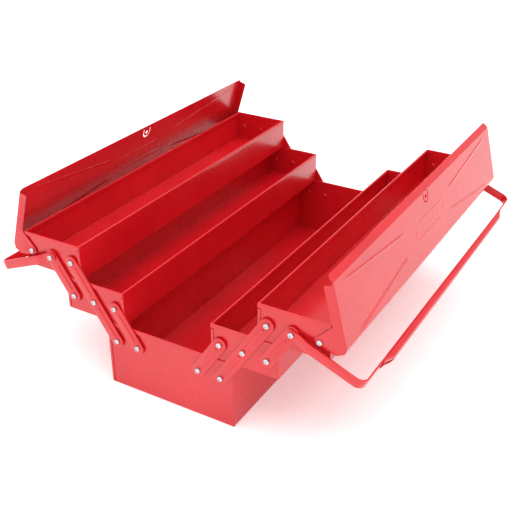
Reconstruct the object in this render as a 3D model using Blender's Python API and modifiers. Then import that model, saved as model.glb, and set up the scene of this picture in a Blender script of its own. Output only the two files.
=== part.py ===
"""Cantilever toolbox in folded sheet steel: a deep base tray, two smaller trays stepped out on each side,
a hinged lid over each upper tray, flat links that carry the trays, and a strap handle on each side.

Metres, +Z up. X runs across the box, Y along it, and the origin is the bottom centre of the base tray.
The box is modelled spread open: each tray rests just above the rim of the tray below it.
"""
import math

import bpy
import bmesh
from mathutils import Matrix, Vector

# ---- trays ----
TRAY_LENGTH = 0.555          # outside length of every tray, along Y
BASE_WIDTH = 0.200           # outside width of the base tray
BASE_HEIGHT = 0.1008
TRAY_HEIGHT = 0.0508         # middle and upper trays
SHEET = 0.0010               # steel thickness of trays and lids
HEM_DEPTH = 0.0060           # folded-over band along each rim
HEM_THICKNESS = 0.0010
HEM_CORNER_GAP = 0.0030      # the end hems stop short of the corners
CENTRE_GAP = 0.00075         # from the mid plane to a closed tray's inner wall
SIDE_SET_BACK = 0.0020       # closed trays stand this far inside the base's side
REST_GAP = 0.00035           # air under a tray that rests on the rim below

# ---- linkage ----
OPEN_STEP = 0.0340           # each tray stands this much farther out than the one below
LINK_WIDTH = 0.0190
LINK_THICKNESS = 0.0020
PIVOT_SPACING = 0.0342       # between neighbouring pivots on one tray
PIVOT_BELOW_RIM = 0.0265
PIVOT_INSET = 0.01395        # middle tray's first pivot, from its inner wall

# ---- lids: cross-section about the hinge, lid shut, X outward and Z up ----
HINGE_INSET = 0.0132         # lid hinge, from the upper tray's outer wall
LID_ABOVE_RIM = 0.0069       # top face of a shut lid above the tray's rim
LID_EDGE_GAP = {"right": 0.0072, "left": 0.0016}   # flat top's free edge, lid shut, from the mid plane
LID_LIP_RUN = 0.0087         # bent lip on the right lid only, which reaches under the left lid
LID_LIP_DROP = 0.0052
SHOULDER_RUN = 0.0070        # chamfer between the top and the skirt
SHOULDER_DROP = 0.0042
SKIRT_RUN = 0.0022
SKIRT_DROP = 0.0110
FLANGE_DEPTH = 0.0125        # lid end flange, below the top
EAR_RADIUS = 0.0070          # round the hinge
EAR_ROOT = 0.0206            # the ear leaves the flange this far inward of the hinge
EAR_ARC_DEG = (205, 330)     # the round part of the ear's edge, from +X towards +Z
LID_OPEN_DEG = {"right": 75.8, "left": 73.2}
LID_TIP_CUT = 0.0045         # corners clipped off the free edge

# ---- handles ----
STRAP_WIDTH = 0.0130
STRAP_THICKNESS = 0.0020
STRAP_BEND = 0.0100          # inside radius of its corners
STRAP_EYE_RADIUS = 0.0080
JOGGLE_START = 0.0120        # the strap steps outward between these, from its pivot
JOGGLE_END = 0.0220
LEG_CLEARANCE = 0.0017       # between a leg and the lid's hinge rivet
HANDLE_REST_DEG = -22.0      # below horizontal
HANDLE_LID_GAP = 0.0006      # between the strap and an open lid's free edge
GRIP_END_GAP = 0.0530        # grip starts this far in from the strap's outside
GRIP_TAPER = 0.0220
GRIP_DEPTH = 0.0078
GRIP_WALL = 0.0016

# ---- rivets ----
SHANK_RADIUS = 0.0025
HEAD_RADIUS = 0.0037
HEAD_HEIGHT = 0.0022
DIMPLE_RADIUS = 0.0014
DIMPLE_DEPTH = 0.0006
TAIL_RADIUS = 0.0042
TAIL_HEIGHT = 0.0014
DOME_RADIUS_SHARE = 0.8      # the head's rounding, as shares of its radius and height
DOME_DROP_SHARE = 0.25
TAIL_FACE_SHARE = 0.7

# ---- padlock tongue in each lid ----
TONGUE_WIDTH = 0.0180
TONGUE_LENGTH = 0.0160
TONGUE_SLOT = 0.0024
PADLOCK_HOLE = 0.0030        # radius
TONGUE_EDGE = {"right": 0.0015, "left": 0.0045}   # slot ends, from the free edge of the flat top

GAP = 0.0003                 # between pieces that touch on the real box
SEAT = 0.00005               # keeps two faces of one piece from lying in the same plane
WELD = 0.00001               # points closer than this are merged
OVERRUN = 0.030              # cutters reach this far past what they cut
EDGE_SPREAD = 0.0010         # the eye cutter opens this far past the strap's edges
ARC_STEPS = 10               # facets in a half circle
ROUND_STEPS = 12             # facets round a hole, a shank or a head

# ---- worked out from the sizes above ----
HALF = TRAY_LENGTH / 2
STEP_UP = TRAY_HEIGHT + REST_GAP
TRAY_WIDTH = BASE_WIDTH / 2 - CENTRE_GAP - SIDE_SET_BACK
MIDDLE_INNER = CENTRE_GAP + 2 * OPEN_STEP
UPPER_INNER = CENTRE_GAP + 4 * OPEN_STEP
LID_RISE = PIVOT_BELOW_RIM + LID_ABOVE_RIM
SHUT_HINGE_X = CENTRE_GAP + TRAY_WIDTH - HINGE_INSET
LID_REACH = {side: SHUT_HINGE_X - gap for side, gap in LID_EDGE_GAP.items()}
SHOULDER_OUT = HINGE_INSET + SHEET
LID_CORNER_OUT = SHOULDER_OUT - SHOULDER_RUN
BASE_PIVOT_Z = BASE_HEIGHT - PIVOT_BELOW_RIM
BASE_PIVOT_X = CENTRE_GAP + PIVOT_INSET + OPEN_STEP

PIVOTS = {
    "base_inner": (BASE_PIVOT_X, BASE_PIVOT_Z),
    "base_outer": (BASE_PIVOT_X + PIVOT_SPACING, BASE_PIVOT_Z),
    "middle_inner": (BASE_PIVOT_X + OPEN_STEP, BASE_PIVOT_Z + STEP_UP),
    "middle_centre": (BASE_PIVOT_X + OPEN_STEP + PIVOT_SPACING, BASE_PIVOT_Z + STEP_UP),
    "middle_outer": (BASE_PIVOT_X + OPEN_STEP + 2 * PIVOT_SPACING, BASE_PIVOT_Z + STEP_UP),
    "upper_inner": (BASE_PIVOT_X + 2 * OPEN_STEP + PIVOT_SPACING, BASE_PIVOT_Z + 2 * STEP_UP),
    "upper_outer": (BASE_PIVOT_X + 2 * OPEN_STEP + 2 * PIVOT_SPACING, BASE_PIVOT_Z + 2 * STEP_UP),
    "lid_hinge": (UPPER_INNER + TRAY_WIDTH - HINGE_INSET, BASE_PIVOT_Z + 2 * STEP_UP),
}

# Layers outward of the end wall's outer face.
LINK_IN = HEM_THICKNESS + GAP
LINK_OUT = LINK_IN + LINK_THICKNESS
FLANGE_IN = HEM_THICKNESS + GAP
FLANGE_OUT = FLANGE_IN + SHEET
STRAP_IN = LINK_OUT + GAP
STRAP_OUT = STRAP_IN + STRAP_THICKNESS
LEG_IN = FLANGE_OUT + GAP + HEAD_HEIGHT + LEG_CLEARANCE
HOLE_RADIUS = SHANK_RADIUS + GAP

SIDES = {"right": 1, "left": -1}
ENDS = {"front": -1, "rear": 1}
# Colour, roughness and metallic value.
FINISHES = {
    "enamel_sheet": ((0.60, 0.012, 0.018, 1.0), 0.22, 0.0),
    "enamel_bar": ((0.60, 0.012, 0.018, 1.0), 0.24, 0.0),
    "zinc": ((0.80, 0.80, 0.80, 1.0), 0.30, 1.0),
}


def clear_scene():
    for obj in list(bpy.data.objects):
        bpy.data.objects.remove(obj, do_unlink=True)


def make_collection(name):
    collection = bpy.data.collections.new(name)
    bpy.context.scene.collection.children.link(collection)
    return collection


def make_material(name, color, roughness, metallic):
    material = bpy.data.materials.new(name)
    material.use_nodes = True
    shader = material.node_tree.nodes["Principled BSDF"]
    shader.inputs["Base Color"].default_value = color
    shader.inputs["Roughness"].default_value = roughness
    shader.inputs["Metallic"].default_value = metallic
    return material


def object_from_bmesh(name, bm):
    mesh = bpy.data.meshes.new(name)
    bm.to_mesh(mesh)
    bm.free()
    return bpy.data.objects.new(name, mesh)


def add_box(bm, low, high):
    size = [high[i] - low[i] for i in range(3)]
    centre = [(high[i] + low[i]) / 2 for i in range(3)]
    matrix = Matrix.Translation(centre) @ Matrix.Diagonal((*size, 1.0))
    return bmesh.ops.create_cube(bm, size=1.0, matrix=matrix)["verts"]


def add_rod(bm, radius, x, z, y_low, y_high):
    """A cylinder along Y."""
    matrix = Matrix.Translation((x, (y_low + y_high) / 2, z)) @ Matrix.Rotation(math.pi / 2, 4, "X")
    bmesh.ops.create_cone(bm, cap_ends=True, segments=ROUND_STEPS, radius1=radius, radius2=radius,
                          depth=y_high - y_low, matrix=matrix)


def boolean(obj, tool, operation):
    """Keep the tool as a hidden guide, so that the modifier stays live."""
    cutters.objects.link(tool)
    tool.hide_render = True
    tool.display_type = "WIRE"
    modifier = obj.modifiers.new(tool.name, "BOOLEAN")
    modifier.object = tool
    modifier.operation = operation
    modifier.solver = "EXACT"


def arc(centre, radius, start_deg, end_deg, steps=ARC_STEPS):
    """Points on an arc in the XZ plane, angles from +X towards +Z."""
    points = []
    for i in range(steps + 1):
        angle = math.radians(start_deg + (end_deg - start_deg) * i / steps)
        points.append((centre[0] + radius * math.cos(angle), centre[1] + radius * math.sin(angle)))
    return points


def circle(centre, radius):
    return arc(centre, radius, 0, 360 - 360 / ROUND_STEPS, ROUND_STEPS - 1)


def flat_plate(name, outlines, y_low, y_high):
    """A flat piece in the XZ plane: the first outline is its edge, the others are holes."""
    curve = bpy.data.curves.new(name, "CURVE")
    curve.dimensions = "2D"
    curve.fill_mode = "BOTH"
    curve.extrude = (y_high - y_low) / 2
    for outline in outlines:
        spline = curve.splines.new("POLY")
        spline.points.add(len(outline) - 1)
        for point, (x, z) in zip(spline.points, outline):
            point.co = (x, z, 0, 1)
        spline.use_cyclic_u = True
    flat = bpy.data.objects.new(name + "_outline", curve)
    bpy.context.scene.collection.objects.link(flat)
    flat.location = (0, (y_low + y_high) / 2, 0)
    flat.rotation_euler = (math.pi / 2, 0, 0)
    bpy.context.view_layer.update()
    evaluated = flat.evaluated_get(bpy.context.evaluated_depsgraph_get())
    mesh = bpy.data.meshes.new_from_object(evaluated)
    bm = bmesh.new()
    bm.from_mesh(mesh)
    bmesh.ops.remove_doubles(bm, verts=bm.verts, dist=WELD)
    bm.to_mesh(mesh)
    bm.free()
    obj = bpy.data.objects.new(name, mesh)
    obj.matrix_world = flat.matrix_world.copy()
    bpy.data.objects.remove(flat, do_unlink=True)
    return obj


def finish(obj, surface):
    obj.data.materials.clear()
    obj.data.materials.append(make_material(obj.name, *FINISHES[surface]))
    parts.objects.link(obj)
    return obj


def side_point(side, pivot):
    """A pivot's X and Z on one side of the box."""
    x, z = PIVOTS[pivot]
    return SIDES[side] * x, z


def set_origin(obj, location):
    """Move the object's origin to a joint axis and keep its shape where it is."""
    bpy.context.view_layer.update()
    obj.data.transform(Matrix.Translation(-Vector(location)) @ obj.matrix_world)
    obj.matrix_world = Matrix.Translation(location)


# ---------------------------------------------------------------- trays
def hem_boxes(bm, x_low, x_high, z_rim, sides, ends):
    """The folded bands along a rim: inside the long walls, outside the end walls."""
    z_hem = z_rim - HEM_DEPTH
    overlap = SHEET / 2
    if sides:
        y_side = HALF - SHEET - 2 * GAP
        inside = SHEET + HEM_THICKNESS
        add_box(bm, (x_low + overlap, -y_side, z_hem), (x_low + inside, y_side, z_rim))
        add_box(bm, (x_high - inside, -y_side, z_hem), (x_high - overlap, y_side, z_rim))
    for way in ends:
        y_low, y_high = sorted((way * (HALF - overlap), way * (HALF + HEM_THICKNESS)))
        add_box(bm, (x_low + HEM_CORNER_GAP, y_low, z_hem), (x_high - HEM_CORNER_GAP, y_high, z_rim))


def drill(obj, pivots, y_low, y_high):
    """A hole for every rivet."""
    holes = bmesh.new()
    for x, z in pivots:
        add_rod(holes, HOLE_RADIUS, x, z, y_low, y_high)
    boolean(obj, object_from_bmesh(obj.name + "_rivet_holes", holes), "DIFFERENCE")


def one_piece_tray(name, x_low, x_high, z_low, z_rim, pivots, origin):
    """Trough and end walls in one open box."""
    bm = bmesh.new()
    add_box(bm, (x_low, -HALF, z_low), (x_high, HALF, z_rim))
    top = max(bm.faces, key=lambda face: face.calc_center_median().z)
    bmesh.ops.inset_individual(bm, faces=[top], thickness=SHEET)
    pocket = bmesh.ops.extrude_face_region(bm, geom=[top])["geom"]
    bmesh.ops.delete(bm, geom=[top], context="FACES_ONLY")
    floor = [item for item in pocket if isinstance(item, bmesh.types.BMVert)]
    bmesh.ops.translate(bm, verts=floor, vec=(0, 0, z_low + SHEET - z_rim))
    bmesh.ops.recalc_face_normals(bm, faces=bm.faces)
    tray = object_from_bmesh(name, bm)
    hem = bmesh.new()
    hem_boxes(hem, x_low, x_high, z_rim, True, ENDS.values())
    boolean(tray, object_from_bmesh(name + "_hem", hem), "UNION")
    drill(tray, pivots, -HALF - LINK_OUT, HALF + LINK_OUT)
    set_origin(tray, (origin[0], 0, origin[1]))
    finish(tray, "enamel_sheet")


def trough(name, x_low, x_high, z_low, z_rim, origin):
    """Floor and long walls, folded from one sheet."""
    y_end = HALF - SHEET - GAP
    bm = bmesh.new()
    rows = []
    for x, z in ((x_low, z_rim), (x_low, z_low), (x_high, z_low), (x_high, z_rim)):
        rows.append((bm.verts.new((x, -y_end, z)), bm.verts.new((x, y_end, z))))
    for first, second in zip(rows, rows[1:]):
        bm.faces.new((first[0], first[1], second[1], second[0]))
    channel = object_from_bmesh(name, bm)
    sheet = channel.modifiers.new("sheet", "SOLIDIFY")
    sheet.thickness = SHEET
    sheet.offset = -1
    sheet.use_even_offset = True
    hem = bmesh.new()
    hem_boxes(hem, x_low, x_high, z_rim, True, ())
    boolean(channel, object_from_bmesh(name + "_hem", hem), "UNION")
    set_origin(channel, (origin[0], 0, origin[1]))
    finish(channel, "enamel_sheet")


def end_wall(name, x_low, x_high, z_low, z_rim, way, pivots, origin):
    """A flat panel that closes one end of a trough and carries the rivets."""
    y_low, y_high = sorted((way * (HALF - SHEET), way * HALF))
    bm = bmesh.new()
    add_box(bm, (x_low, y_low, z_low), (x_high, y_high, z_rim))
    panel = object_from_bmesh(name, bm)
    hem = bmesh.new()
    hem_boxes(hem, x_low, x_high, z_rim, False, (way,))
    boolean(panel, object_from_bmesh(name + "_hem", hem), "UNION")
    y_from, y_to = sorted((way * (HALF - LINK_OUT), way * (HALF + LINK_OUT)))
    drill(panel, pivots, y_from, y_to)
    set_origin(panel, (origin[0], way * HALF, origin[1]))
    finish(panel, "enamel_sheet")


def built_tray(level, ending, x_low, x_high, z_low, z_rim, pivots, origin):
    trough(f"{level}_trough{ending}", x_low, x_high, z_low, z_rim, origin)
    for end, way in ENDS.items():
        end_wall(f"{level}_end_wall{ending}_{end}", x_low, x_high, z_low, z_rim, way, pivots, origin)


def make_trays():
    base_pivots = [side_point(side, pivot) for side in SIDES for pivot in ("base_inner", "base_outer")]
    built_tray("base", "", -BASE_WIDTH / 2, BASE_WIDTH / 2, 0.0, BASE_HEIGHT, base_pivots, (0, 0))
    for side, sign in SIDES.items():
        edges = sorted((sign * MIDDLE_INNER, sign * (MIDDLE_INNER + TRAY_WIDTH)))
        pivots = [side_point(side, name) for name in ("middle_centre", "middle_inner", "middle_outer")]
        z_low = BASE_HEIGHT + REST_GAP
        one_piece_tray(f"middle_tray_{side}", *edges, z_low, z_low + TRAY_HEIGHT, pivots, pivots[0])
        edges = sorted((sign * UPPER_INNER, sign * (UPPER_INNER + TRAY_WIDTH)))
        pivots = [side_point(side, name) for name in ("upper_inner", "upper_outer", "lid_hinge")]
        z_low = z_low + STEP_UP
        built_tray("upper", f"_{side}", *edges, z_low, z_low + TRAY_HEIGHT, pivots, pivots[0])


# ---------------------------------------------------------------- links
LINKS = {
    "inner_link": ("base_inner", "middle_inner"),
    "long_link": ("base_outer", "middle_centre", "upper_inner"),
    "outer_link": ("middle_outer", "upper_outer"),
}


def make_links():
    """Round-ended flat bars, two or three pivots each, outside both end walls."""
    lean = math.degrees(math.atan2(STEP_UP, OPEN_STEP))
    for side, sign in SIDES.items():
        angle = lean if sign > 0 else 180 - lean
        for link, names in LINKS.items():
            points = [side_point(side, name) for name in names]
            outline = arc(points[0], LINK_WIDTH / 2, angle + 90, angle + 270)
            outline += arc(points[-1], LINK_WIDTH / 2, angle - 90, angle + 90)
            holes = [circle(point, HOLE_RADIUS) for point in points]
            for end, way in ENDS.items():
                y_low, y_high = sorted((way * (HALF + LINK_IN), way * (HALF + LINK_OUT)))
                bar = flat_plate(f"{link}_{side}_{end}", [outline] + holes, y_low, y_high)
                set_origin(bar, (points[0][0], 0, points[0][1]))
                finish(bar, "enamel_bar")


# ---------------------------------------------------------------- lids
def lid_section(side):
    """The outer face of a shut lid about its hinge, from the free edge to the skirt's lower edge."""
    reach = LID_REACH[side]
    points = [(-reach, LID_RISE)]
    if side == "right":
        points.insert(0, (-reach - LID_LIP_RUN, LID_RISE - LID_LIP_DROP))
    shoulder = (SHOULDER_OUT, LID_RISE - SHOULDER_DROP)
    points.append((LID_CORNER_OUT, LID_RISE))
    points.append(shoulder)
    points.append((shoulder[0] + SKIRT_RUN, shoulder[1] - SKIRT_DROP))
    return points


def open_lid_matrix(side):
    """From the shut section's own axes to the open lid on its side of the box."""
    x, z = PIVOTS["lid_hinge"]
    turn = Matrix.Rotation(math.radians(LID_OPEN_DEG[side]), 4, "Y")
    mirror = Matrix.Diagonal((SIDES[side], 1, 1, 1))
    return mirror @ Matrix.Translation((x, 0, z)) @ turn


def flange_outline(side):
    """An end flange with the ear that reaches down to the hinge rivet."""
    section = lid_section(side)
    top = LID_RISE - SEAT
    lower = LID_RISE - FLANGE_DEPTH
    ear = arc((0, 0), EAR_RADIUS, *EAR_ARC_DEG)
    skirt_x, skirt_z = section[-1]
    outline = [(-LID_REACH[side] + SEAT, top), (-LID_REACH[side] + SEAT, lower), (-EAR_ROOT, lower)]
    outline += ear
    outline += [(skirt_x - SEAT, skirt_z + SEAT)]
    outline += [(section[-2][0] - SEAT, section[-2][1] - SEAT / 2), (LID_CORNER_OUT, top)]
    return outline


def padlock_outline(side):
    """A U-shaped slot round a tongue, open towards the free edge, drawn on the flat top (X and Y)."""
    slot_end = -LID_REACH[side] + TONGUE_EDGE[side]
    radius = TONGUE_WIDTH / 2
    centre = (slot_end + TONGUE_LENGTH - radius, 0)
    outer = arc(centre, radius, -90, 90)
    inner = arc(centre, radius - TONGUE_SLOT, 90, -90)
    return [(slot_end, -radius)] + outer + [(slot_end, radius), (slot_end, radius - TONGUE_SLOT)] + inner \
        + [(slot_end, -radius + TONGUE_SLOT)], centre


def make_lid(side):
    name = f"lid_{side}"
    edge = HALF + FLANGE_OUT - SEAT
    bm = bmesh.new()
    rows = []
    for x, z in lid_section(side):
        rows.append((bm.verts.new((x, -edge, z)), bm.verts.new((x, edge, z))))
    for first, second in zip(rows, rows[1:]):
        bm.faces.new((first[0], second[0], second[1], first[1]))
    lid = object_from_bmesh(name, bm)
    shell = lid.modifiers.new("sheet", "SOLIDIFY")
    shell.thickness = SHEET
    shell.offset = -1
    shell.use_even_offset = True

    for way in ENDS.values():
        y_low, y_high = sorted((way * (HALF + FLANGE_IN), way * (HALF + FLANGE_OUT)))
        hole = circle((0, 0), HOLE_RADIUS)
        flange = flat_plate(f"{name}_flange_{y_low:.3f}", [flange_outline(side), hole], y_low, y_high)
        boolean(lid, flange, "UNION")

    slot, tongue_centre = padlock_outline(side)
    cutter = flat_plate(f"{name}_padlock_slot", [slot], -SHEET * 3, SHEET * 3)
    cutter.matrix_world = Matrix.Translation((0, 0, LID_RISE))
    boolean(lid, cutter, "DIFFERENCE")
    hole = bmesh.new()
    matrix = Matrix.Translation((tongue_centre[0], tongue_centre[1], LID_RISE))
    bmesh.ops.create_cone(hole, cap_ends=True, segments=ROUND_STEPS, radius1=PADLOCK_HOLE,
                          radius2=PADLOCK_HOLE, depth=SHEET * 6, matrix=matrix)
    boolean(lid, object_from_bmesh(f"{name}_padlock_hole", hole), "DIFFERENCE")

    tips = bmesh.new()
    tip = Vector((lid_section(side)[0][0], 0, LID_RISE))
    wide = LID_TIP_CUT * math.sqrt(2)
    turn = Matrix.Rotation(math.pi / 4, 4, "Z") @ Matrix.Diagonal((wide, wide, 2 * OVERRUN, 1))
    for way in ENDS.values():
        corner = Matrix.Translation(tip + Vector((0, way * (HALF + FLANGE_OUT), 0)))
        bmesh.ops.create_cube(tips, size=1.0, matrix=corner @ turn)
    boolean(lid, object_from_bmesh(f"{name}_tip_cuts", tips), "DIFFERENCE")

    # The cuts follow the lid, which stands open on its side of the box.
    pose = open_lid_matrix(side)
    bake_shape(lid, pose)
    x, z = side_point(side, "lid_hinge")
    set_origin(lid, (x, 0, z))
    finish(lid, "enamel_sheet")


def bake_shape(obj, matrix):
    """Apply the modifiers, then carry the finished mesh to its place with its faces still outward."""
    bpy.context.scene.collection.objects.link(obj)
    bpy.context.view_layer.update()
    evaluated = obj.evaluated_get(bpy.context.evaluated_depsgraph_get())
    mesh = bpy.data.meshes.new_from_object(evaluated)
    mesh.transform(matrix)
    if matrix.determinant() < 0:
        mesh.flip_normals()
    bpy.context.scene.collection.objects.unlink(obj)
    obj.modifiers.clear()
    obj.data = mesh


# ---------------------------------------------------------------- handles
def lid_sweep():
    """The farthest point of either open lid from its handle's pivot."""
    x, z = PIVOTS["upper_outer"]
    farthest = 0.0
    for side in SIDES:
        turn = Matrix.Rotation(math.radians(LID_OPEN_DEG[side]), 4, "Y")
        hinge = Vector((PIVOTS["lid_hinge"][0], 0, PIVOTS["lid_hinge"][1]))
        for px, pz in lid_section(side):
            point = hinge + turn @ Vector((px, 0, pz))
            farthest = max(farthest, math.hypot(point.x - x, point.z - z))
    return farthest


def make_handle(side):
    """A strap bent into a U, worked in its own axes: X from the pivot to the cross strap, Y along the box."""
    name = f"handle_{side}"
    near = lid_sweep() + HANDLE_LID_GAP          # inside of the cross strap
    half = STRAP_THICKNESS / 2
    y_eye = HALF + STRAP_IN + half
    y_leg = HALF + LEG_IN + half
    bend = STRAP_BEND + half
    path = [(-STRAP_EYE_RADIUS, y_eye), (JOGGLE_START, y_eye), (JOGGLE_END, y_leg)]
    path += arc((near + half - bend, y_leg - bend), bend, 90, 0, ARC_STEPS // 2)
    path += [(x, -y) for x, y in reversed(path)]
    bm = bmesh.new()
    rows = []
    for x, y in path:
        rows.append((bm.verts.new((x, y, -STRAP_WIDTH / 2)), bm.verts.new((x, y, STRAP_WIDTH / 2))))
    for first, second in zip(rows, rows[1:]):
        bm.faces.new((first[0], first[1], second[1], second[0]))
    strap = object_from_bmesh(name, bm)
    thick = strap.modifiers.new("strap", "SOLIDIFY")
    thick.thickness = STRAP_THICKNESS
    thick.offset = 0
    thick.use_even_offset = True

    # The legs end in round eyes.
    corner = math.degrees(math.acos(STRAP_WIDTH / 2 / STRAP_EYE_RADIUS))
    side_view = arc((0, 0), STRAP_EYE_RADIUS, 90 + corner, 270 - corner)
    far, spread = near + OVERRUN, STRAP_WIDTH / 2 + EDGE_SPREAD
    side_view += [(0, -STRAP_WIDTH / 2), (far, -spread), (far, spread), (0, STRAP_WIDTH / 2)]
    y_cut = HALF + OVERRUN
    boolean(strap, flat_plate(f"{name}_side_view", [side_view], -y_cut, y_cut), "INTERSECT")
    eyes = bmesh.new()
    add_rod(eyes, HOLE_RADIUS, 0, 0, -y_cut, y_cut)
    boolean(strap, object_from_bmesh(f"{name}_rivet_holes", eyes), "DIFFERENCE")

    # The grip's folded edges stand outward of the strap.
    y_grip = y_leg + half - GRIP_END_GAP
    root = near + half
    crest = near + STRAP_THICKNESS + GRIP_DEPTH
    for edge in (-1, 1):
        web = [(root, -y_grip), (crest, -y_grip + GRIP_TAPER), (crest, y_grip - GRIP_TAPER), (root, y_grip)]
        z_out = edge * (STRAP_WIDTH / 2 - SEAT)
        z_low, z_high = sorted((z_out, z_out - edge * GRIP_WALL))
        plate = flat_plate(f"{name}_grip_{edge}", [web], z_low, z_high)
        plate.matrix_world = Matrix.Translation((0, 0, (z_low + z_high) / 2))
        boolean(strap, plate, "UNION")

    x, z = PIVOTS["upper_outer"]
    pose = Matrix.Diagonal((SIDES[side], 1, 1, 1)) @ Matrix.Translation((x, 0, z)) \
        @ Matrix.Rotation(-math.radians(HANDLE_REST_DEG), 4, "Y")
    bake_shape(strap, pose)
    set_origin(strap, (SIDES[side] * x, 0, z))
    finish(strap, "enamel_bar")


# ---------------------------------------------------------------- rivets
# How far the pieces under each head reach, outward of the end wall.
UNDER_HEAD = {pivot: LINK_OUT for pivot in PIVOTS}
UNDER_HEAD["lid_hinge"] = FLANGE_OUT
UNDER_HEAD["upper_outer"] = STRAP_OUT


def rivet_profile(under_head):
    """Radius and height from the head's centre down to the tail's centre, height 0 at the wall's face."""
    base = under_head + GAP
    crown = base + HEAD_HEIGHT
    tail = -SHEET - GAP
    return [
        (0, crown - DIMPLE_DEPTH), (DIMPLE_RADIUS, crown),
        (HEAD_RADIUS * DOME_RADIUS_SHARE, crown - HEAD_HEIGHT * DOME_DROP_SHARE),
        (HEAD_RADIUS, base), (SHANK_RADIUS, base), (SHANK_RADIUS, tail), (TAIL_RADIUS, tail),
        (TAIL_RADIUS * TAIL_FACE_SHARE, tail - TAIL_HEIGHT), (0, tail - TAIL_HEIGHT),
    ]


def make_rivet(name, x, z, way, under_head):
    bm = bmesh.new()
    points = [bm.verts.new((radius, 0, height)) for radius, height in rivet_profile(under_head)]
    for first, second in zip(points, points[1:]):
        bm.edges.new((first, second))
    rivet = object_from_bmesh(name, bm)
    screw = rivet.modifiers.new("turned", "SCREW")
    screw.steps = ROUND_STEPS
    screw.render_steps = ROUND_STEPS
    screw.use_merge_vertices = True
    screw.merge_threshold = WELD
    # The profile's height becomes the distance outward of the end wall.
    rivet.rotation_euler = (-way * math.pi / 2, 0, 0)
    rivet.location = (x, way * HALF, z)
    finish(rivet, "zinc")


def make_rivets():
    for side in SIDES:
        for pivot in PIVOTS:
            x, z = side_point(side, pivot)
            for end, way in ENDS.items():
                make_rivet(f"rivet_{pivot}_{side}_{end}", x, z, way, UNDER_HEAD[pivot])


clear_scene()
parts = make_collection("cantilever_toolbox")
cutters = make_collection("cutters")
make_trays()
make_links()
for lid_side in SIDES:
    make_lid(lid_side)
    make_handle(lid_side)
make_rivets()
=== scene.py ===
"""Looks of the cantilever toolbox: folded sheet-steel trays and lids in red stoving enamel, flat links
with pressed ribs, strap handles with a rolled grip, and zinc-plated rivets, on a plain pale floor.

Right is +X, the front is -Y, and the left side is the right side turned half round Z."""

import math

import bmesh
import bpy
from mathutils import Matrix, Vector


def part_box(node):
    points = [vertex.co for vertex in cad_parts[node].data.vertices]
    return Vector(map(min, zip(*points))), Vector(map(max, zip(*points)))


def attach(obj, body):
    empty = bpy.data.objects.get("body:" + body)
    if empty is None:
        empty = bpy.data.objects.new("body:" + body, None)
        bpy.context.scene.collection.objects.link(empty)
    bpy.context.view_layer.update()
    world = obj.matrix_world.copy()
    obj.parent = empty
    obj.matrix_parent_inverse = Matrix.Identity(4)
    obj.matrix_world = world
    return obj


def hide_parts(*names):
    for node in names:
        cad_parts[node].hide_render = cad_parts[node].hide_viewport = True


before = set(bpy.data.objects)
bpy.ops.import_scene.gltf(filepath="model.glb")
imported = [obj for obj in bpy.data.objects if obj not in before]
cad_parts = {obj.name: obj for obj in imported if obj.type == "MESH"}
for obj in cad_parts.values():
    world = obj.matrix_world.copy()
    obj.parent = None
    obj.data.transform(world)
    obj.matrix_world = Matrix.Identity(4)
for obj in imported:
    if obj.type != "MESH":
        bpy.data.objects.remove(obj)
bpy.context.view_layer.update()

MM = 0.001
HAIR = 0.01 * MM            # keeps two faces from meeting exactly
UPRIGHT = 0.9               # a normal's share along an axis above which a face is square to it

# Trays
SHEET = 1.0 * MM            # tray and lid steel
ROLL = 1.05 * MM            # outside radius of an end wall's hemmed rim
SIDE_ROLL = 1.5 * MM        # and of a long wall's, which is a looser roll
HEM_DEPTH = 6.0 * MM
FOLD = 1.3 * MM             # outside radius of a folded corner
FLAP_FACE = 0.95 * MM       # a corner flap's outer face, outside the end wall
CORNER_TAB = 4.2 * MM       # flap that wraps round onto the end wall
TAB_BELOW_RIM = 7.5 * MM
TAB_ABOVE_FLOOR = 2.5 * MM
PANEL_STEP = 0.4 * MM       # how far above the flaps the end panel widens
PANEL_INSET = 0.15 * MM     # from there up, inside the long walls' outer faces
TRAY_GAP = 0.05 * MM        # play between an end panel and the long walls
EDGE_BREAK = 0.18 * MM      # sheared edges, barely broken
CAD_HEM = 1.0 * MM          # how far the CAD hems stand outside the end walls

# Links
LINK_WIDTH = 19.0 * MM
LINK_EDGE = 0.3 * MM
RIB_WIDTH = 5.2 * MM
RIB_HEIGHT = 0.9 * MM
RIB_ROOT = 0.4 * MM         # how deep a rib's solid starts in the bar
RIB_ROUND = 0.9             # share of a rib's height that is rounded off
RIB_STOP = 8.0 * MM         # rib ends, from the pivots
EYE_STOP = 15.5 * MM        # and from the pivot that the handle shares, clear of its eye
HOLE = 2.75 * MM            # radius of a rivet hole

# Lids: measured shut, from the hinge, with the free edge at -X
LID_RISE = 33.4 * MM        # height of the flat top
LID_REACH = {"right": 77.6 * MM, "left": 83.2 * MM}
LIP = Vector((-8.7 * MM, 0, -5.2 * MM))    # the right lid's free edge, which tucks under the left lid's
TOP_OUT = 7.2 * MM          # where the flat top ends over the hinge
SHOULDER = Vector((7.0 * MM, 0, -4.2 * MM))
SKIRT = Vector((2.2 * MM, 0, -11.0 * MM))
CREASE = 0.9 * MM           # bevel along the long folds
LID_GRID = (74, 380)        # fine enough for the beads
CROSS_BEAD = (2.6 * MM, 0.75)              # half width, and height in millimetres
FRAME_BEAD = (1.9 * MM, 0.5)
BEAD_FADE = 12.0 * MM       # length over which a bead rises from its end
BEAD_END = 0.35             # share of its height there
FLANGE_DEPTH = 12.5 * MM
FLANGE_FACE = 2.3 * MM      # a lid flange's outer face, outside the end wall
FLANGE_CORNER = 1.5 * MM
FLANGE_EDGE = 0.15 * MM
EAR_RADIUS = 7.0 * MM
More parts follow.
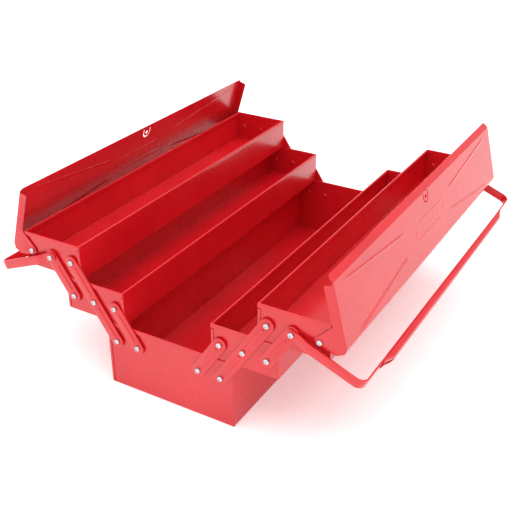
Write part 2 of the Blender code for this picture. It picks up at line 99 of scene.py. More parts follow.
# The ear is stretched round the hinge and these blocks: low and high corners, as (x, z).
EAR_BLOCKS = (((-20.6 * MM, 20.9 * MM), (6.8 * MM, 32.1 * MM)),
              ((13.5 * MM, 28.2 * MM), (14.0 * MM, 29.0 * MM)),
              ((15.4 * MM, 18.5 * MM), (16.2 * MM, 19.4 * MM)))
LID_FOLD = 1.3 * MM         # outside radius of the lid's end folds
LID_TIP_CUT = 4.5 * MM
TONGUE_RADIUS = 9.0 * MM
TONGUE_SLOT = 2.4 * MM
TONGUE_LENGTH = 16.0 * MM
TONGUE_EDGE = {"right": 1.5 * MM, "left": 4.5 * MM}
PADLOCK_HOLE = 3.0 * MM     # radius
LID_OPEN = {"right": 75.8, "left": 73.2}

# Handles
STRAP_WIDTH = 13.0 * MM
STRAP_THICKNESS = 2.0 * MM
STRAP_EDGE = 0.35 * MM
STRAP_BEND = 11.0 * MM      # mid-thickness radius
STRAP_EYE = 8.0 * MM        # how far the eye runs past its pivot
EYE_LAYER = 4.6 * MM        # mid-thickness, outside the end wall
LEG_LAYER = 7.5 * MM
JOGGLE = (12.0 * MM, 22.0 * MM)            # from the pivot, where the strap steps outward
JOGGLE_BEND = 2.5 * MM
HANDLE_REST = -22.0
GRIP_END = 53.0 * MM        # from the leg's outside to the start of the grip
GRIP_TAPER = 22.0 * MM      # length over which the grip deepens
GRIP_STEPS = 4
GRIP_START_DEPTH = 0.25     # share of the grip's depth at its start
GRIP_DEPTH = 7.8 * MM
GRIP_CURL = 4.6 * MM
GRIP_CORNER = 3.2 * MM

# Rivets
HEAD_RADIUS = 3.7 * MM
HEAD_HEIGHT = 2.2 * MM
HEAD_ROUND = 1.5 * MM
HEAD_FULLNESS = 0.62        # of the dome's profile
DIMPLE = ((0.5 * MM, 0), (0.35 * MM, -0.9 * MM), (0.6 * MM, -0.2 * MM))    # inset and depth of each step
SHANK_RADIUS = 2.5 * MM
TAIL_RADIUS = 3.9 * MM
TAIL_HEIGHT = 1.9 * MM
TAIL_PAINT = 0.3 * MM       # how far the enamel runs up the shank
TAIL_STEPS = ((0.3, 1.0), (0.25, 0.93), (0.25, 0.8), (0.2, 0.55))          # share of height, and narrowing

TURN = {"right": 0.0, "left": math.pi}
SIGN = {"right": 1, "left": -1}
ENDS = {"front": -1, "rear": 1}
PIVOTS = ("base_inner", "base_outer", "middle_inner", "middle_centre", "middle_outer",
          "upper_inner", "upper_outer", "lid_hinge")


def centre_of(node):
    low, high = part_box(node)
    return (low + high) / 2


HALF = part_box("middle_tray_right")[1].y - CAD_HEM
PIVOT = {(p, s): centre_of(f"rivet_{p}_{s}_front") for p in PIVOTS for s in SIGN}
BODY_OF_LEVEL = {"base": "base", "middle": "middle_tray", "upper": "upper_tray"}


# ------------------------------------------------------------------ hand tools
def clear_selection():
    bpy.ops.object.select_all(action="DESELECT")


def take(obj):
    clear_selection()
    obj.select_set(True)
    bpy.context.view_layer.objects.active = obj


def settle():
    """Put the active object's place into its mesh."""
    bpy.ops.object.transform_apply(location=True, rotation=True, scale=True)


def cube(name, low, high):
    clear_selection()
    low, high = Vector(low), Vector(high)
    bpy.ops.mesh.primitive_cube_add(size=1, location=(low + high) / 2)
    obj = bpy.context.object
    obj.name = name
    obj.scale = high - low
    settle()
    return obj


def rod(name, radius, centre, length, axis, vertices=48):
    """A cylinder along Y or Z."""
    clear_selection()
    turn = (math.pi / 2, 0, 0) if axis == "Y" else (0, 0, 0)
    bpy.ops.mesh.primitive_cylinder_add(vertices=vertices, radius=radius, depth=length, location=centre,
                                        rotation=turn)
    obj = bpy.context.object
    obj.name = name
    settle()
    return obj


def edit(obj):
    take(obj)
    bpy.ops.object.mode_set(mode="EDIT")


def done():
    bpy.ops.object.mode_set(mode="OBJECT")


def middle(item):
    if isinstance(item, bmesh.types.BMVert):
        return item.co
    return sum((v.co for v in item.verts), Vector()) / len(item.verts)


def pick(kind, test):
    """In edit mode, select only the vertices, edges or faces that pass the test."""
    bpy.ops.mesh.select_mode(type=kind)
    bpy.ops.mesh.select_all(action="DESELECT")
    mesh = bmesh.from_edit_mesh(bpy.context.object.data)
    items = {"VERT": mesh.verts, "EDGE": mesh.edges, "FACE": mesh.faces}[kind]
    for item in items:
        if test(item):
            item.select_set(True)
    mesh.select_flush_mode()
    bmesh.update_edit_mesh(bpy.context.object.data)


def near(a, b, slack=0.02 * MM):
    return abs(a - b) < slack


def both(edge, axis, value):
    """Both of an edge's ends are at this place along the axis."""
    return all(near(getattr(v.co, axis), value) for v in edge.verts)


def runs(edge, axes):
    """Both of an edge's ends agree on these axes, so it runs along the other one."""
    start, end = (v.co for v in edge.verts)
    return all(near(getattr(start, axis), getattr(end, axis)) for axis in axes)


def face_out():
    """In edit mode, turn every face outwards."""
    bpy.ops.mesh.select_mode(type="FACE")
    bpy.ops.mesh.select_all(action="SELECT")
    bpy.ops.mesh.normals_make_consistent(inside=False)


def pull(offset):
    """Extrude the selection and move it."""
    bpy.ops.mesh.extrude_region_move(TRANSFORM_OT_translate={"value": Vector(offset)})


def sweep(angle, centre, axis, steps):
    """Spin the selection about an axis, right-handed."""
    bpy.ops.mesh.spin(steps=steps, angle=-angle, center=centre, axis=axis)


def split(point, normal):
    bpy.ops.mesh.select_mode(type="VERT")
    bpy.ops.mesh.select_all(action="SELECT")
    bpy.ops.mesh.bisect(plane_co=point, plane_no=normal)


def modify(obj, kind, **settings):
    """Add a modifier, set it and apply it."""
    take(obj)
    modifier = obj.modifiers.new(kind.title(), kind)
    for key, value in settings.items():
        setattr(modifier, key, value)
    bpy.ops.object.modifier_apply(modifier=modifier.name)


def thicken(obj, thickness=SHEET, offset=-1):
    modify(obj, "SOLIDIFY", thickness=thickness, offset=offset, use_even_offset=True)


def soften(obj, width, segments=2, angle=35):
    modify(obj, "BEVEL", width=width, segments=segments, limit_method="ANGLE",
           angle_limit=math.radians(angle), harden_normals=False)


def combine(obj, tool, operation):
    modify(obj, "BOOLEAN", object=tool, operation=operation, solver="EXACT")
    bpy.data.objects.remove(tool, do_unlink=True)


def smooth(obj, degrees=32):
    take(obj)
    bpy.ops.object.shade_smooth_by_angle(angle=math.radians(degrees))


def put(obj, matrix):
    """Move the finished shape to its place and keep the object at the origin."""
    take(obj)
    obj.matrix_world = matrix
    settle()


def hand_over(obj, body, materials, replaced=()):
    obj.data.materials.clear()
    for material in materials:
        obj.data.materials.append(material)
    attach(obj, body)
    if replaced:
        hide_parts(*replaced)
    return obj


# ------------------------------------------------------------------ finishes
def linear(hex_colour):
    """An sRGB hex colour as linear RGBA."""
    channels = [int(hex_colour[i:i + 2], 16) / 255 for i in (1, 3, 5)]
    return [c / 12.92 if c <= 0.04045 else ((c + 0.055) / 1.055) ** 2.4 for c in channels] + [1.0]


def add_node(tree, kind, settings=None, **links):
    """One node; settings are its properties or sockets, links give a socket the output that feeds it."""
    node = tree.nodes.new(kind)
    for key, value in (settings or {}).items():
        if key in node.inputs:
            node.inputs[key].default_value = value
        else:
            setattr(node, key, value)
    for key, output in links.items():
        tree.links.new(output, node.inputs[key.replace("_", " ")])
    return node


def blank_material(name):
    material = bpy.data.materials.new(name)
    material.use_nodes = True
    tree = material.node_tree
    tree.nodes.clear()
    shader = add_node(tree, "ShaderNodeBsdfPrincipled")
    output = add_node(tree, "ShaderNodeOutputMaterial")
    tree.links.new(shader.outputs["BSDF"], output.inputs["Surface"])
    place = add_node(tree, "ShaderNodeTexCoord").outputs["Object"]
    return material, tree, shader, place


def ramp(tree, fac, low, high, start=0.3, end=0.7):
    node = add_node(tree, "ShaderNodeValToRGB", Fac=fac)
    node.color_ramp.elements[0].position = start
    node.color_ramp.elements[0].color = low
    node.color_ramp.elements[1].position = end
    node.color_ramp.elements[1].color = high
    return node.outputs["Color"]


def per_metre(millimetres):
    """Noise scale whose features are about this many millimetres across."""
    return 1000 / millimetres


def stoving_enamel(name, roughness):
    """Sprayed and baked gloss enamel on steel sheet: a deep red film under a clear surface gloss, with the
    faint orange peel of spraying and slight differences in film depth."""
    material, tree, shader, place = blank_material(name)
    # The film's depth drifts over about 70 mm, and its gloss over about 25 mm.
    film = add_node(tree, "ShaderNodeTexNoise", {"Scale": per_metre(70), "Detail": 2.0}, Vector=place)
    colour = ramp(tree, film.outputs["Fac"], linear("#C9111C"), linear("#D31822"))
    tree.links.new(colour, shader.inputs["Base Color"])
    haze = add_node(tree, "ShaderNodeTexNoise", {"Scale": per_metre(25), "Detail": 3.0}, Vector=place)
    spread = add_node(tree, "ShaderNodeMapRange", {"To Min": roughness - 0.04, "To Max": roughness + 0.05},
                      Value=haze.outputs["Fac"])
    tree.links.new(spread.outputs["Result"], shader.inputs["Roughness"])
    # Real orange peel is 1 to 3 mm across; drawn at 4 mm so that it still shows.
    peel = add_node(tree, "ShaderNodeTexNoise", {"Scale": per_metre(4), "Detail": 1.0, "Roughness": 0.4},
                    Vector=place)
    bump = add_node(tree, "ShaderNodeBump", {"Strength": 0.03, "Distance": 0.08 * MM},
                    Height=peel.outputs["Fac"])
    tree.links.new(bump.outputs["Normal"], shader.inputs["Normal"])
    shader.inputs["IOR"].default_value = 1.52
    shader.inputs["Coat Weight"].default_value = 0.15
    shader.inputs["Coat Roughness"].default_value = 0.12
    return material


def zinc_plate():
    """Bright zinc electroplate on a cold-headed steel rivet: pale, slightly blue, with a fine satin grain
    and faint clouds in the plating."""
    material, tree, shader, place = blank_material("bright_zinc_plate")
    cloud = add_node(tree, "ShaderNodeTexNoise", {"Scale": per_metre(3), "Detail": 3.0}, Vector=place)
    colour = ramp(tree, cloud.outputs["Fac"], linear("#B4B8BC"), linear("#D2D5D7"))
    tree.links.new(colour, shader.inputs["Base Color"])
    grain = add_node(tree, "ShaderNodeTexNoise", {"Scale": per_metre(0.4), "Detail": 2.0}, Vector=place)
    spread = add_node(tree, "ShaderNodeMapRange", {"To Min": 0.22, "To Max": 0.4},
                      Value=grain.outputs["Fac"])
    tree.links.new(spread.outputs["Result"], shader.inputs["Roughness"])
    bump = add_node(tree, "ShaderNodeBump", {"Strength": 0.1, "Distance": 0.05 * MM},
                    Height=grain.outputs["Fac"])
    tree.links.new(bump.outputs["Normal"], shader.inputs["Normal"])
    shader.inputs["Metallic"].default_value = 1.0
    return material


enamel = stoving_enamel("red_stoving_enamel_sheet", 0.26)
strap_enamel = stoving_enamel("red_stoving_enamel_strap", 0.30)
zinc = zinc_plate()


# ------------------------------------------------------------------ trays
def roll_edge(at_edge, centre, axis, angle, drop):
    """Roll the picked free edge over into a hem and run it down the wall."""
    pick("EDGE", at_edge)
    sweep(angle, centre, axis, 8)
    pull(drop)


def trough(name, x_low, x_high, z_low, z_rim):
    """Floor and long walls from one sheet: folded bottom edges, rolled rims, flaps round the end walls."""
    y_end = HALF + FLAP_FACE - FOLD
    obj = cube(name, (x_low, -y_end, z_low), (x_high, y_end, z_rim - SIDE_ROLL))
    edit(obj)
    pick("FACE", lambda f: abs(f.normal.y) > UPRIGHT or f.normal.z > UPRIGHT)
    bpy.ops.mesh.delete(type="FACE")
    pick("EDGE", lambda e: both(e, "z", z_low) and runs(e, "x"))
    bpy.ops.mesh.bevel(offset=FOLD, segments=5, affect="EDGES")
    z_roll = z_rim - SIDE_ROLL
    for x, way in ((x_low, 1), (x_high, -1)):
        roll_edge(lambda e: near(middle(e).x, x) and near(middle(e).z, z_roll),
                  (x + way * SIDE_ROLL, 0, z_roll), (0, 1, 0), way * math.pi, (0, 0, SIDE_ROLL - HEM_DEPTH))
    split((0, 0, z_rim - TAB_BELOW_RIM), (0, 0, 1))
    split((0, 0, z_low + TAB_ABOVE_FLOOR), (0, 0, 1))
    tab_middle = (z_low + TAB_ABOVE_FLOOR + z_rim - TAB_BELOW_RIM) / 2
    for x, side in ((x_low, 1), (x_high, -1)):
        for way in (-1, 1):
            pick("EDGE", lambda e: near(middle(e).x, x) and near(middle(e).y, way * y_end)
                 and near(middle(e).z, tab_middle, 2 * MM))
            sweep(-way * side * math.pi / 2, (x + side * FOLD, way * y_end, 0), (0, 0, 1), 5)
            pull((side * (CORNER_TAB - FOLD), 0, 0))
    face_out()
    done()
    return obj


def finish_sheet(obj):
    thicken(obj)
    soften(obj, EDGE_BREAK, 1, 60)
    smooth(obj)


def end_wall(name, x_low, x_high, z_low, z_rim, way):
    """A flat panel inside the trough's ends, its top edge rolled outward."""
    inner = HALF - SHEET
    side_gap = SHEET + TRAY_GAP
    clear_selection()
    place = ((x_low + x_high) / 2, way * inner, (z_low + z_rim) / 2 + SHEET / 2 - ROLL / 2)
    bpy.ops.mesh.primitive_plane_add(size=1, location=place, rotation=(way * math.pi / 2, 0, 0))
    obj = bpy.context.object
    obj.name = name
    obj.scale = (x_high - x_low - 2 * side_gap, z_rim - z_low - SHEET - ROLL, 1)
    settle()
    edit(obj)
    # Above the corner flaps the panel runs out over the ends of the long walls' rolls.
    z_step = z_rim - TAB_BELOW_RIM + PANEL_STEP
    split((0, 0, z_step), (0, 0, 1))
    for x, out in ((x_low + side_gap, -1), (x_high - side_gap, 1)):
        pick("EDGE", lambda e: near(middle(e).x, x) and middle(e).z > z_step + HAIR)
        pull((out * (side_gap - PANEL_INSET), 0, 0))
    roll_edge(lambda e: near(middle(e).z, z_rim - ROLL), (0, way * (inner + ROLL), z_rim - ROLL),
              (1, 0, 0), -way * math.pi, (0, 0, ROLL - HEM_DEPTH))
    done()
    finish_sheet(obj)
    return obj


def build_tray(level, side, x_low, x_high, z_low, z_rim, replaced):
    ending = f"_{side}" if side else ""
    body = f"{side}_{BODY_OF_LEVEL[level]}" if side else "base"
    channel = trough(f"{level}_tray{ending}_trough_sheet", x_low, x_high, z_low, z_rim)
    finish_sheet(channel)
    hand_over(channel, body, [enamel], replaced["trough"])
    for end, way in ENDS.items():
        wall = end_wall(f"{level}_tray{ending}_end_sheet_{end}", x_low, x_high, z_low, z_rim, way)
        hand_over(wall, body, [enamel], replaced.get(end, ()))


def tray_size(node):
    low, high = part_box(node)
    return low.x, high.x, low.z, high.z


build_tray("base", "", *tray_size("base_trough"),
           {"trough": ["base_trough"], "front": ["base_end_wall_front"], "rear": ["base_end_wall_rear"]})
for side in SIGN:
    build_tray("middle", side, *tray_size(f"middle_tray_{side}"), {"trough": [f"middle_tray_{side}"]})
    build_tray("upper", side, *tray_size(f"upper_trough_{side}"),
               {"trough": [f"upper_trough_{side}"], "front": [f"upper_end_wall_{side}_front"],
                "rear": [f"upper_end_wall_{side}_rear"]})


# ------------------------------------------------------------------ links
LINKS = {"inner_link": ("base_inner", "middle_inner"),
         "long_link": ("base_outer", "middle_centre", "upper_inner"),
         "outer_link": ("middle_outer", "upper_outer")}


def link_bar(name, reach, stops, thickness, last_stop):
    """A round-ended flat bar along +X from the first pivot, lying in XZ, its face and ribs towards -Y."""
    half = LINK_WIDTH / 2
    obj = cube(name, (-half, -thickness / 2, -half), (reach + half, thickness / 2, half))
    edit(obj)
    pick("EDGE", lambda e: runs(e, "xz"))
    bpy.ops.mesh.bevel(offset=half - HAIR, segments=12, affect="EDGES")
    pick("VERT", lambda v: True)
    bpy.ops.mesh.remove_doubles(threshold=3 * HAIR)
    done()
    face = -thickness / 2
    for start, end in zip(stops, stops[1:]):
        rib = cube("rib", (start + RIB_STOP, face - RIB_HEIGHT, -RIB_WIDTH / 2),
                   (end - last_stop, face + RIB_ROOT, RIB_WIDTH / 2))
        edit(rib)
        pick("EDGE", lambda e: runs(e, "xz"))
        bpy.ops.mesh.bevel(offset=RIB_WIDTH / 2 - 5 * HAIR, segments=6, affect="EDGES")
        pick("EDGE", lambda e: both(e, "y", face - RIB_HEIGHT))
        bpy.ops.mesh.bevel(offset=RIB_HEIGHT * RIB_ROUND, segments=4, affect="EDGES")
        done()
        combine(obj, rib, "UNION")
    for stop in stops:
        combine(obj, rod("hole", HOLE, (stop, 0, 0), 4 * thickness, "Y", 32), "DIFFERENCE")
    soften(obj, LINK_EDGE, 2, 40)
    smooth(obj)
    return obj


for link, names in LINKS.items():
    low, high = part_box(f"{link}_right_front")
    thickness = high.y - low.y
    points = [PIVOT[name, "right"] for name in names]
    stops = [math.hypot(p.x - points[0].x, p.z - points[0].z) for p in points]
    lean = math.atan2(points[-1].z - points[0].z, points[-1].x - points[0].x)
    master = link_bar(f"{link}_master", stops[-1], stops, thickness,
                      EYE_STOP if link == "outer_link" else RIB_STOP)
    for side in SIGN:
        for end, way in ENDS.items():
            bar = master.copy()
            bar.data = master.data.copy()
            bar.name = f"{link}_bar_{side}_{end}"
            bpy.context.collection.objects.link(bar)
            base = centre_of(f"rivet_{names[0]}_{side}_{end}")
            y = centre_of(f"{link}_{side}_{end}").y
            # Leaning outward on the front; the rear is the front of the other side turned about Z.
            outward = SIGN[side] * -way
            angle = lean if outward > 0 else math.pi - lean
            turn = Matrix.Rotation(0 if way < 0 else math.pi, 4, "Z")
            pose = Matrix.Translation((base.x, y, base.z)) @ turn @ Matrix.Rotation(-angle, 4, "Y")
            put(bar, pose)
            hand_over(bar, f"{side}_{link}s", [strap_enamel], [f"{link}_{side}_{end}"])
    bpy.data.objects.remove(master, do_unlink=True)


# ------------------------------------------------------------------ lids
def blend_step(t):
    """0 to 1 with level ends."""
    t = max(0.0, min(1.0, t))
    return t * t * (3 - 2 * t)


def bead(point, line, width):
    """How far a pressed bead along a line lifts the sheet here, from 0 to 1."""
    start, end = line
    along = end - start
    t = max(0.0, min(1.0, (point - start).dot(along) / along.length_squared))
    off = (point - (start + along * t)).length
    fade = blend_step(min(t, 1 - t) * along.length / BEAD_FADE)
    return blend_step(1 - off / width) * (BEAD_END + (1 - BEAD_END) * fade)


def lid_beads(reach):
    """Pressed lines on the flat top: an interrupted cross, and a slanted frame with four bars in it."""
    # Each arm of the cross runs from near a corner of the lid towards its middle.
    cross = []
    for way in (-1, 1):
        cross.append((Vector((9 * MM - reach, way * 252 * MM)), Vector((-50 * MM, way * 80 * MM))))
        cross.append((Vector((4 * MM, way * 242 * MM)), Vector((-18 * MM, way * 80 * MM))))
    across, along, lean = 11 * MM, 50 * MM, 5 * MM
    centre = Vector((-33 * MM, 6 * MM))
    corners = [centre + Vector(offset) for offset in ((-across, lean - along), (-across, lean + along),
                                                      (across, along - lean), (across, -along - lean))]
    plate = [(corners[i], corners[(i + 1) % 4]) for i in range(4)]
    for share in (-0.6, -0.2, 0.2, 0.6):
        middle_of_bar = centre + Vector((0, share * along))
        half_bar = Vector((across, -lean)) * 0.5
        plate.append((middle_of_bar - half_bar, middle_of_bar + half_bar))
    return cross, plate


def press(obj, reach):
    """Weight the flat top's points along the beads and displace them, as a press tool does."""
    cross, plate = lid_beads(reach)
    beads = obj.vertex_groups.new(name="beads")
    for vertex in obj.data.vertices:
        here = Vector((vertex.co.x, vertex.co.y))
        lift = max(bead(here, line, width) * height for lines, (width, height) in
                   ((cross, CROSS_BEAD), (plate, FRAME_BEAD)) for line in lines)
        if lift > 0:
            beads.add([vertex.index], lift, "REPLACE")
    modify(obj, "DISPLACE", direction="Z", mid_level=0, strength=MM, vertex_group="beads")
    obj.vertex_groups.clear()


def lid_flange(name, way, reach):
    """The lid's folded end: a strip with its free corner clipped and an ear round the hinge rivet."""
    y = way * (HALF + FLANGE_FACE - SHEET / 2)
    low, high = y - SHEET / 2 + HAIR, y + SHEET / 2 - HAIR
    start = LID_TIP_CUT - reach
    strip = cube(name, (start, low, LID_RISE - FLANGE_DEPTH), (TOP_OUT, high, LID_RISE - LID_FOLD))
    edit(strip)
    pick("EDGE", lambda e: near(middle(e).x, start) and near(middle(e).z, LID_RISE - FLANGE_DEPTH))
    bpy.ops.mesh.bevel(offset=FLANGE_CORNER, segments=4, affect="EDGES")
    done()
    wrap = rod("ear", EAR_RADIUS, (0, y, 0), SHEET - 2 * HAIR, "Y", 40)
    edit(wrap)
    for (x0, z0), (x1, z1) in EAR_BLOCKS:
        bpy.ops.mesh.primitive_cube_add(size=1, location=((x0 + x1) / 2, y, (z0 + z1) / 2),
                                        scale=(x1 - x0, SHEET - 2 * HAIR, z1 - z0))
    pick("VERT", lambda v: True)
    bpy.ops.mesh.convex_hull()
    done()
    combine(strip, wrap, "UNION")
    combine(strip, rod("hinge_hole", HOLE, (0, y, 0), 4 * SHEET, "Y", 32), "DIFFERENCE")
    soften(strip, FLANGE_EDGE, 1, 50)
    return strip


def clip_tips(x_tip, edge):
    """In edit mode, cut the two corners off the lid's free edge."""
    for way in (-1, 1):
        bpy.ops.mesh.select_mode(type="VERT")
        bpy.ops.mesh.select_all(action="SELECT")
        bpy.ops.mesh.bisect(plane_co=(x_tip + LID_TIP_CUT, way * edge, 0), plane_no=(-1, way, 0),
                            clear_outer=True)


def lid_sheet(side):
    """The lid lying shut about its hinge at the origin, with its free edge at -X."""
    reach = LID_REACH[side]
    edge = HALF + FLANGE_FACE
    flat = edge - LID_FOLD
    clear_selection()
    bpy.ops.mesh.primitive_grid_add(x_subdivisions=LID_GRID[0], y_subdivisions=LID_GRID[1], size=1,
                                    location=((TOP_OUT - reach) / 2, 0, LID_RISE))
    obj = bpy.context.object
    obj.name = f"lid_sheet_{side}"
    obj.scale = (reach + TOP_OUT, 2 * flat, 1)
    settle()
    press(obj, reach)
    edit(obj)
    pick("EDGE", lambda e: both(e, "x", TOP_OUT))
    pull(SHOULDER)
    pull(SKIRT)
    if side == "right":
        pick("EDGE", lambda e: both(e, "x", -reach))
        pull(LIP)
    for way in (-1, 1):
        pick("EDGE", lambda e: both(e, "y", way * flat) and near(middle(e).z, LID_RISE))
        sweep(-way * math.pi / 2, (0, way * flat, LID_RISE - LID_FOLD), (1, 0, 0), 4)
    folds = [TOP_OUT, TOP_OUT + SHOULDER.x] + ([-reach] if side == "right" else [])
    pick("EDGE", lambda e: not e.is_boundary and abs(middle(e).y) < flat - 10 * HAIR
         and any(both(e, "x", x) for x in folds))
    bpy.ops.mesh.bevel(offset=CREASE, segments=3, affect="EDGES")
    clip_tips(-reach + (LIP.x if side == "right" else 0), edge)
    face_out()
    done()
    thicken(obj)
    padlock_cut(obj, side)
    flanges = [lid_flange(f"flange_{end}", way, reach) for end, way in ENDS.items()]
    take(obj)
    for flange in flanges:
        flange.select_set(True)
    bpy.ops.object.join()
    return bpy.context.object


def padlock_cut(obj, side):
    """A U-shaped slot that frees a tongue, with a padlock hole in it."""
    radius, narrow = TONGUE_RADIUS, TONGUE_RADIUS - TONGUE_SLOT
    x_from = -LID_REACH[side] + TONGUE_EDGE[side]
    x_mid = x_from + TONGUE_LENGTH - radius
    deep = 3 * SHEET
    outer = cube("slot", (x_from, -radius, LID_RISE - deep), (x_mid, radius, LID_RISE + deep))
    combine(outer, rod("slot_end", radius, (x_mid, 0, LID_RISE), 2 * deep, "Z"), "UNION")
    inner = cube("tongue", (x_from - SHEET, -narrow, LID_RISE - 2 * deep),
                 (x_mid, narrow, LID_RISE + 2 * deep))
    combine(inner, rod("tongue_end", narrow, (x_mid, 0, LID_RISE), 4 * deep, "Z"), "UNION")
    combine(outer, inner, "DIFFERENCE")
    combine(obj, outer, "DIFFERENCE")
    combine(obj, rod("padlock_hole", PADLOCK_HOLE, (x_mid, 0, LID_RISE), 2 * deep, "Z"), "DIFFERENCE")


for side in SIGN:
    lid = lid_sheet(side)
    smooth(lid, 28)
    hinge = PIVOT["lid_hinge", side]
    pose = Matrix.Translation((hinge.x, 0, hinge.z)) @ Matrix.Rotation(TURN[side], 4, "Z") \
        @ Matrix.Rotation(math.radians(LID_OPEN[side]), 4, "Y")
    put(lid, pose)
    hand_over(lid, f"{side}_lid", [enamel], [f"lid_{side}"])


# ------------------------------------------------------------------ handles
def strap_handle(name, reach):
    """Half the strap, from its eye to the middle of the box, then mirrored. X is away from the pivot."""
    y_eye, y_leg = HALF + EYE_LAYER, HALF + LEG_LAYER
    wide = STRAP_WIDTH / 2
    clear_selection()
    bpy.ops.mesh.primitive_plane_add(size=1, location=((JOGGLE[0] - STRAP_EYE) / 2, y_eye, 0),
                                     rotation=(math.pi / 2, 0, 0))
    obj = bpy.context.object
    obj.name = name
    obj.scale = (JOGGLE[0] + STRAP_EYE, STRAP_WIDTH, 1)
    settle()
    edit(obj)
    pick("VERT", lambda v: near(v.co.x, -STRAP_EYE))
    bpy.ops.mesh.bevel(offset=wide - 5 * HAIR, segments=8, affect="VERTICES")
    pick("EDGE", lambda e: both(e, "x", JOGGLE[0]))
    pull((JOGGLE[1] - JOGGLE[0], y_leg - y_eye, 0))
    bend_x = reach - STRAP_BEND
    pull((bend_x - JOGGLE[1], 0, 0))
    sweep(-math.pi / 2, (bend_x, y_leg - STRAP_BEND, 0), (0, 0, 1), 10)
    grip = y_leg + STRAP_THICKNESS / 2 - GRIP_END
    pull((0, grip - (y_leg - STRAP_BEND), 0))
    for part in range(GRIP_STEPS):
        pull((0, -GRIP_TAPER / GRIP_STEPS, 0))
    pull((0, GRIP_TAPER - grip, 0))
    # The grip's edges fold outward and curl in, deepening along the taper.
    for z in (-wide, wide):
        pick("EDGE", lambda e: both(e, "z", z) and near(middle(e).x, reach) and middle(e).y < grip + HAIR)
        pull((GRIP_DEPTH, 0, 0))
        pull((0, 0, -GRIP_CURL if z > 0 else GRIP_CURL))
    pick("EDGE", lambda e: near(abs(e.verts[0].co.z), wide) and len(e.link_faces) == 2 and runs(e, "xz"))
    bpy.ops.mesh.bevel(offset=GRIP_CORNER, segments=4, affect="EDGES")
    for part in range(GRIP_STEPS):
        y = grip - part * GRIP_TAPER / GRIP_STEPS
        depth = GRIP_START_DEPTH + (1 - GRIP_START_DEPTH) * blend_step(part / GRIP_STEPS)
        pick("VERT", lambda v: v.co.x > reach + HAIR and near(v.co.y, y))
        bpy.ops.transform.resize(value=(depth, 1, 1), center_override=(reach, y, 0))
    pick("EDGE", lambda e: both(e, "x", JOGGLE[0]) or both(e, "x", JOGGLE[1]))
    bpy.ops.mesh.bevel(offset=JOGGLE_BEND, segments=4, affect="EDGES")
    done()
    modify(obj, "MIRROR", use_axis=(False, True, False), use_clip=True, use_mirror_merge=True,
           merge_threshold=0.02 * MM)
    edit(obj)
    face_out()
    done()
    thicken(obj, STRAP_THICKNESS, 0)
    for way in (-1, 1):
        combine(obj, rod("hole", HOLE, (0, way * y_eye, 0), 8 * MM, "Y", 32), "DIFFERENCE")
    soften(obj, STRAP_EDGE, 2, 50)
    smooth(obj, 35)
    return obj


for side in SIGN:
    pivot = PIVOT["upper_outer", side]
    low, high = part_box(f"handle_{side}")
    rest = math.radians(HANDLE_REST)
    outermost = max(abs(low.x), abs(high.x)) - abs(pivot.x)
    crown = (outermost - STRAP_WIDTH / 2 * math.sin(-rest)) / math.cos(rest)
    reach = crown - GRIP_DEPTH - STRAP_THICKNESS / 2
    handle = strap_handle(f"handle_strap_{side}", reach)
    pose = Matrix.Translation((pivot.x, 0, pivot.z)) @ Matrix.Rotation(TURN[side], 4, "Z") \
        @ Matrix.Rotation(-rest, 4, "Y")
    put(handle, pose)
    hand_over(handle, f"{side}_handle", [strap_enamel], [f"handle_{side}"])


# ------------------------------------------------------------------ rivets
def rivet_shape(name, length):
    """A domed head with a set dimple, its crown at Z 0; the shank; and the upset tail at the far end."""
    obj = rod(name, HEAD_RADIUS, (0, 0, -HEAD_HEIGHT / 2), HEAD_HEIGHT, "Z", 36)
    edit(obj)
    pick("FACE", lambda f: f.normal.z > UPRIGHT)
    bpy.ops.mesh.bevel(offset=HEAD_ROUND, segments=5, affect="EDGES", profile=HEAD_FULLNESS)
    pick("FACE", lambda f: f.normal.z > UPRIGHT and middle(f).xy.length < 10 * HAIR)
    for inset, depth in DIMPLE:
        bpy.ops.mesh.inset(thickness=inset, depth=depth)
    pick("FACE", lambda f: f.normal.z < -UPRIGHT and middle(f).xy.length < 10 * HAIR)
    bpy.ops.mesh.inset(thickness=HEAD_RADIUS - SHANK_RADIUS)
    pull((0, 0, -(length - HEAD_HEIGHT - TAIL_HEIGHT)))
    grow = TAIL_RADIUS / SHANK_RADIUS
    pull((0, 0, 0))
    bpy.ops.transform.resize(value=(grow, grow, 1))
    for share, shrink in TAIL_STEPS:
        pull((0, 0, -TAIL_HEIGHT * share))
        bpy.ops.transform.resize(value=(shrink, shrink, 1))
    done()
    smooth(obj, 38)
    return obj


BODY_OF_PIVOT = {"base_inner": "base", "base_outer": "base", "middle_inner": "middle_tray",
                 "middle_centre": "middle_tray", "middle_outer": "middle_tray", "upper_inner": "upper_tray",
                 "upper_outer": "upper_tray", "lid_hinge": "upper_tray"}
for pivot_name in PIVOTS:
    low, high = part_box(f"rivet_{pivot_name}_right_front")
    master = rivet_shape(f"rivet_{pivot_name}_master", high.y - low.y)
    master.data.materials.append(zinc)
    master.data.materials.append(enamel)
    # A tail is enamelled like the tray it is upset in, and the head and shank stay zinc.
    tail_z = -(high.y - low.y) + TAIL_HEIGHT + TAIL_PAINT
    for face in master.data.polygons:
        face.material_index = 1 if face.center.z < tail_z else 0
    for side in SIGN:
        for end, way in ENDS.items():
            node = f"rivet_{pivot_name}_{side}_{end}"
            low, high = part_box(node)
            centre = (low + high) / 2
            crown = high.y if way > 0 else low.y
            rivet = master.copy()
            rivet.data = master.data.copy()
            rivet.name = f"{node}_set"
            bpy.context.collection.objects.link(rivet)
            put(rivet, Matrix.Translation((centre.x, crown, centre.z))
                @ Matrix.Rotation(-way * math.pi / 2, 4, "X"))
            body = BODY_OF_PIVOT[pivot_name]
            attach(rivet, body if body == "base" else f"{side}_{body}")
            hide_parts(node)
    bpy.data.objects.remove(master, do_unlink=True)


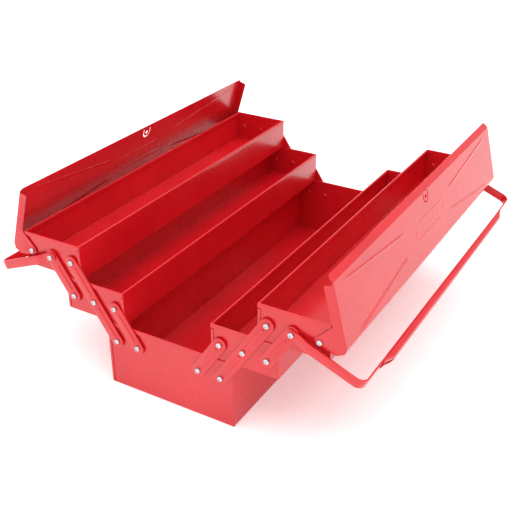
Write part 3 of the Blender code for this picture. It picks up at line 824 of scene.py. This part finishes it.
# ------------------------------------------------------------------ floor, light and camera
def pale_floor():
    """White paper that runs out to the horizon and glows a little, so that it stays pale far away."""
    clear_selection()
    bpy.ops.mesh.primitive_plane_add(size=60, location=(0, 0, 0))
    floor = bpy.context.object
    floor.name = "studio_floor"
    material, tree, shader, place = blank_material("matt_white_paper_sweep")
    grain = add_node(tree, "ShaderNodeTexNoise", {"Scale": per_metre(40), "Detail": 2.0}, Vector=place)
    tree.links.new(ramp(tree, grain.outputs["Fac"], linear("#F3F3F3"), linear("#F7F7F7")),
                   shader.inputs["Base Color"])
    shader.inputs["Roughness"].default_value = 0.9
    shader.inputs["Specular IOR Level"].default_value = 0.1
    shader.inputs["Emission Color"].default_value = linear("#FFFFFF")
    shader.inputs["Emission Strength"].default_value = 0.3
    floor.data.materials.append(material)


def soft_light(name, location, size, power):
    """A rectangular softbox that faces the box."""
    light = bpy.data.lights.new(name, "AREA")
    light.shape = "RECTANGLE"
    light.size, light.size_y = size
    light.energy = power
    obj = bpy.data.objects.new(name, light)
    bpy.context.collection.objects.link(obj)
    obj.location = location
    obj.rotation_euler = (Vector((0, 0, 0.1)) - Vector(location)).to_track_quat("-Z", "Y").to_euler()


def studio():
    """An even pale surround, with most of the light from overhead."""
    world = bpy.data.worlds.new("soft_studio")
    bpy.context.scene.world = world
    world.use_nodes = True
    background = world.node_tree.nodes["Background"]
    background.inputs["Color"].default_value = linear("#FFFFFF")
    background.inputs["Strength"].default_value = 0.75
    soft_light("overhead_softbox", (0, 0, 4.0), (6.0, 6.0), 215)
    soft_light("front_softbox", (1.2, -3.2, 1.2), (2.4, 1.4), 6)


def camera():
    """At the front right corner, looking down on the spread trays; the shift frames the whole box."""
    lens = bpy.data.cameras.new("view")
    lens.sensor_width = 36
    lens.lens = 60.7
    lens.shift_x = -0.0367
    lens.shift_y = -0.0424
    obj = bpy.data.objects.new("view", lens)
    bpy.context.collection.objects.link(obj)
    azimuth, elevation, roll = math.radians(29.6), math.radians(27.54), math.radians(0.18)
    obj.matrix_world = Matrix.Translation((0.5777, -1.0156, 0.7431)) @ Matrix.Rotation(azimuth, 4, "Z") \
        @ Matrix.Rotation(math.pi / 2 - elevation, 4, "X") @ Matrix.Rotation(roll, 4, "Z")
    bpy.context.scene.camera = obj


pale_floor()
studio()
camera()
bpy.context.scene.view_settings.view_transform = "Standard"
bpy.context.scene.view_settings.look = "None"
